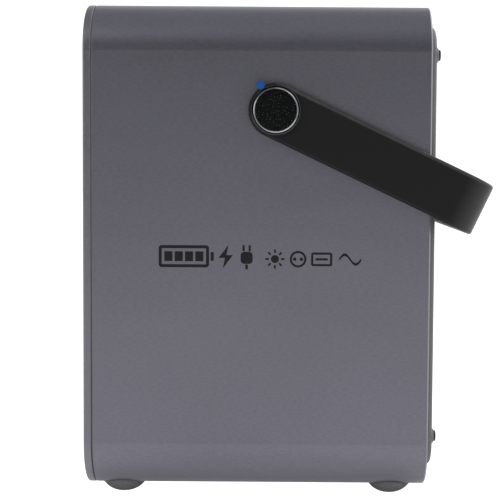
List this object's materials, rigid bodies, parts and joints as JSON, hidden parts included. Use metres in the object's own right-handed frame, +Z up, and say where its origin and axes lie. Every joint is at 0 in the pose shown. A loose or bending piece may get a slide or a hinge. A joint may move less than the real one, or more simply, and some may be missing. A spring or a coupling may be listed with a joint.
{
  "type": "power station",
  "caption": "Portable power station: upright aluminium case with a swing carry handle, a front panel of display, buttons and sockets, a vented rear cover and rubber feet.",
  "frame": {"origin": "on the floor, at the middle of the overall length and width with the handle at rest", "axes": "+Z up, the front panel faces -Y, +X to the right seen from the front"},
  "size_m": [0.1651, 0.1672, 0.204],
  "materials": {
    "case_aluminium": "satin",
    "bezel_aluminium": "satin",
    "rear_plastic": "matte",
    "panel_plastic": "matte",
    "handle_nylon": "matte",
    "white_nylon": "matte",
    "black_nylon": "matte",
    "cap_gloss": "gloss",
    "ring_chrome": "polished",
    "film_blue": "gloss",
    "black_steel": "satin",
    "plain_steel": "satin",
    "black_rubber": "matte",
    "foot_rubber": "matte",
    "window_acrylic": "gloss",
    "lamp_diffuser": "matte",
    "button_plastic": "matte",
    "green_board": "satin",
    "screen_glass": "gloss",
    "port_steel": "satin",
    "socket_plastic": "gloss",
    "contact_brass": "satin",
    "cell_wrap": "satin",
    "bare_aluminium": "satin",
    "core_iron": "matte",
    "capacitor_can": "satin",
    "lead_sheath": "satin"
  },
  "bodies": {
    "case": {"ac_contacts": "contact_brass", "ac_leads": "lead_sheath", "ac_socket": "socket_plastic", "battery_cells": "cell_wrap", "battery_leads": "lead_sheath", "battery_tray": "black_nylon", "bezel_screws": "black_steel", "bms_board": "green_board", "board_screws": "plain_steel", "cap_discs": "cap_gloss", "cap_film": "film_blue", "cap_rings": "ring_chrome", "capacitors": "capacitor_can", "car_socket_contact": "contact_brass", "car_socket_shell": "port_steel", "cell_holder_front": "black_nylon", "cell_holder_rear": "black_nylon", "control_board": "green_board", "dc_jacks": "socket_plastic", "display_module": "screen_glass", "display_window": "window_acrylic", "earth_clips": "contact_brass", "fan_frame": "black_nylon", "fan_lead": "lead_sheath", "fan_screws": "plain_steel", "foot_front_left": "foot_rubber", "foot_front_right": "foot_rubber", "foot_rear_left": "foot_rubber", "foot_rear_right": "foot_rubber", "foot_screws": "plain_steel", "friction_washers": "black_rubber", "front_bezel": "bezel_aluminium", "front_panel": "panel_plastic", "heatsinks": "bare_aluminium", "inverter_board": "green_board", "lamp_board": "green_board", "lamp_lens": "lamp_diffuser", "nickel_strips": "plain_steel", "panel_ribbon": "lead_sheath", "pivot_cap_left": "cap_gloss", "pivot_cap_right": "cap_gloss", "pivot_nuts": "plain_steel", "pivot_posts": "plain_steel", "pivot_screws": "plain_steel", "rear_cover": "rear_plastic", "rear_screws": "black_steel", "sleeve": "case_aluminium", "socket_nuts": "plain_steel", "tact_switches": "black_nylon", "transformer": "core_iron", "usb_a_ports": "port_steel", "usb_c_ports": "port_steel"},
    "handle": {"handle": "handle_nylon", "handle_bushes": "white_nylon"},
    "fan_rotor": {"fan_rotor": "black_nylon"},
    "power_button": {"power_button": "button_plastic"},
    "ac_button": {"ac_button": "button_plastic"},
    "dc_button": {"dc_button": "button_plastic"},
    "lamp_button": {"lamp_button": "button_plastic"}
  },
  "joints": [
    {"name": "handle_swing", "type": "hinge", "parent": "case", "child": "handle", "pos_m": [0, -0.00532, 0.16], "axis": [1, 0, 0], "range_deg": [-8, 165]},
    {"name": "power_press", "type": "slide", "parent": "case", "child": "power_button", "axis": [0, 1, 0], "range_m": [0, 0.0008], "stiffness_N_per_m": 1500},
    {"name": "ac_press", "type": "slide", "parent": "case", "child": "ac_button", "axis": [0, 1, 0], "range_m": [0, 0.0008], "stiffness_N_per_m": 1500},
    {"name": "dc_press", "type": "slide", "parent": "case", "child": "dc_button", "axis": [0, 1, 0], "range_m": [0, 0.0008], "stiffness_N_per_m": 1500},
    {"name": "lamp_press", "type": "slide", "parent": "case", "child": "lamp_button", "axis": [0, 1, 0], "range_m": [0, 0.0008], "stiffness_N_per_m": 1500},
    {"name": "fan_spin", "type": "hinge", "parent": "case", "child": "fan_rotor", "pos_m": [0, 0.0578, 0.15], "axis": [0, 1, 0], "continuous": true}
  ]
}
